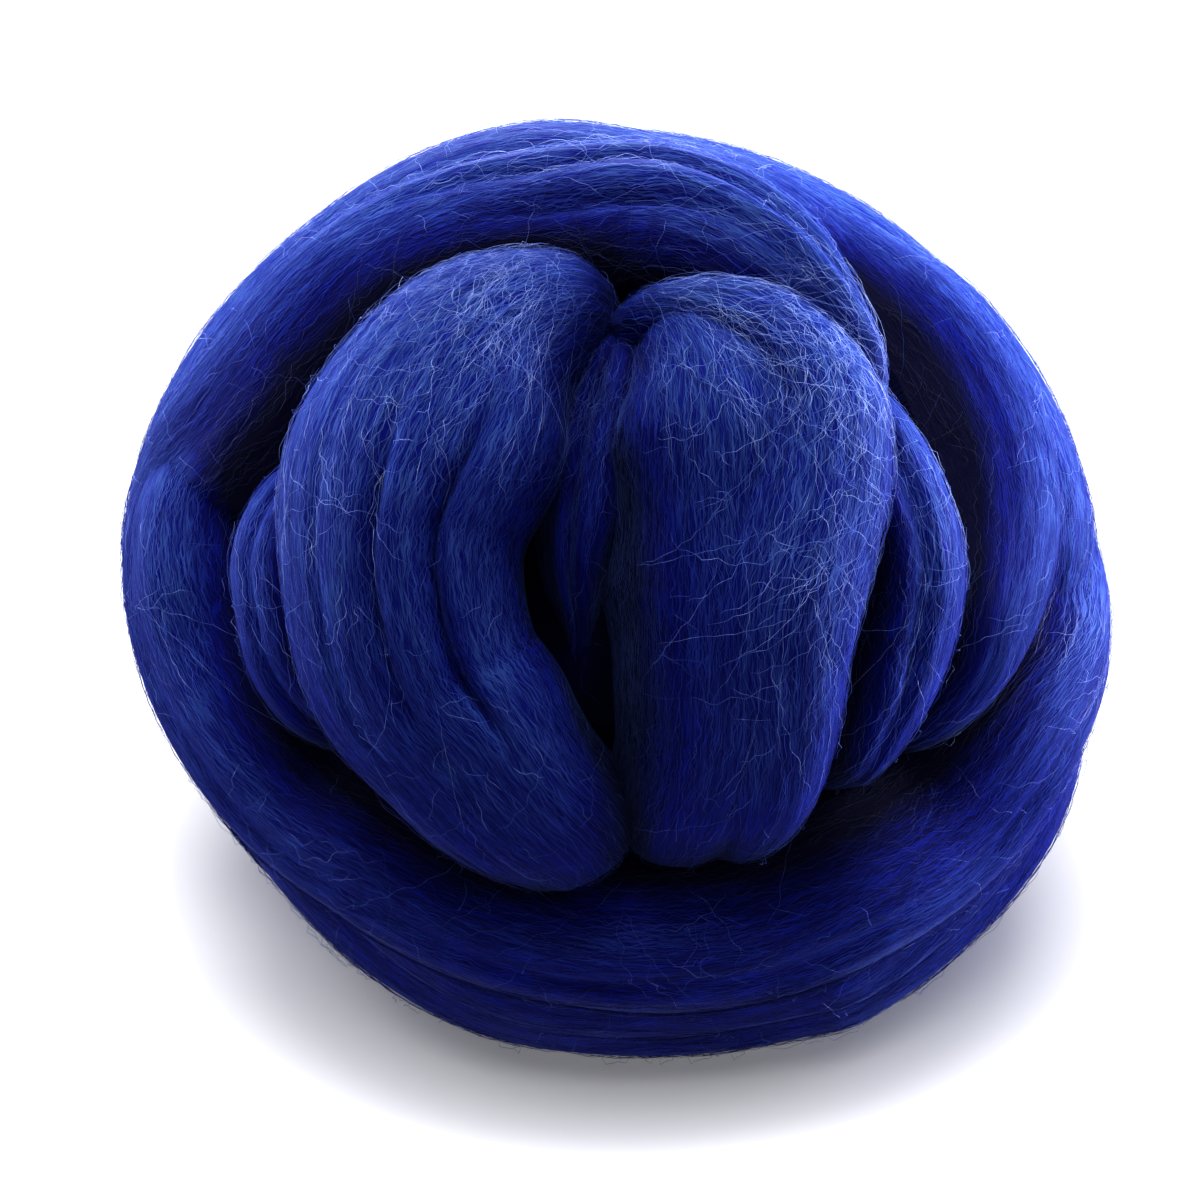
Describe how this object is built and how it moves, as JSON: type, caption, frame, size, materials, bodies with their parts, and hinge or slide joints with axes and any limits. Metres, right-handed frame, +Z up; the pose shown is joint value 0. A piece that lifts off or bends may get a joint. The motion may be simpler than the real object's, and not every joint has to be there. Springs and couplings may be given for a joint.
{
  "type": "ball of wool roving",
  "caption": "Ball of combed wool roving, one thick soft strand wound over and under itself, with a small flat spot to rest on.",
  "frame": {"origin": "middle of the ball's footprint, on the surface that it rests on", "axes": "+Z up, -Y towards the open face of the winding, which looks up and forwards, +X to the right of that face and along the ball's longest side"},
  "size_m": [0.1494, 0.1414, 0.1406],
  "materials": {
    "wool": "combed merino fibre, dyed royal blue, unspun, soft and slightly fuzzy"
  },
  "bodies": {
    "root": {"roving_ball": "wool"}
  },
  "joints": []
}
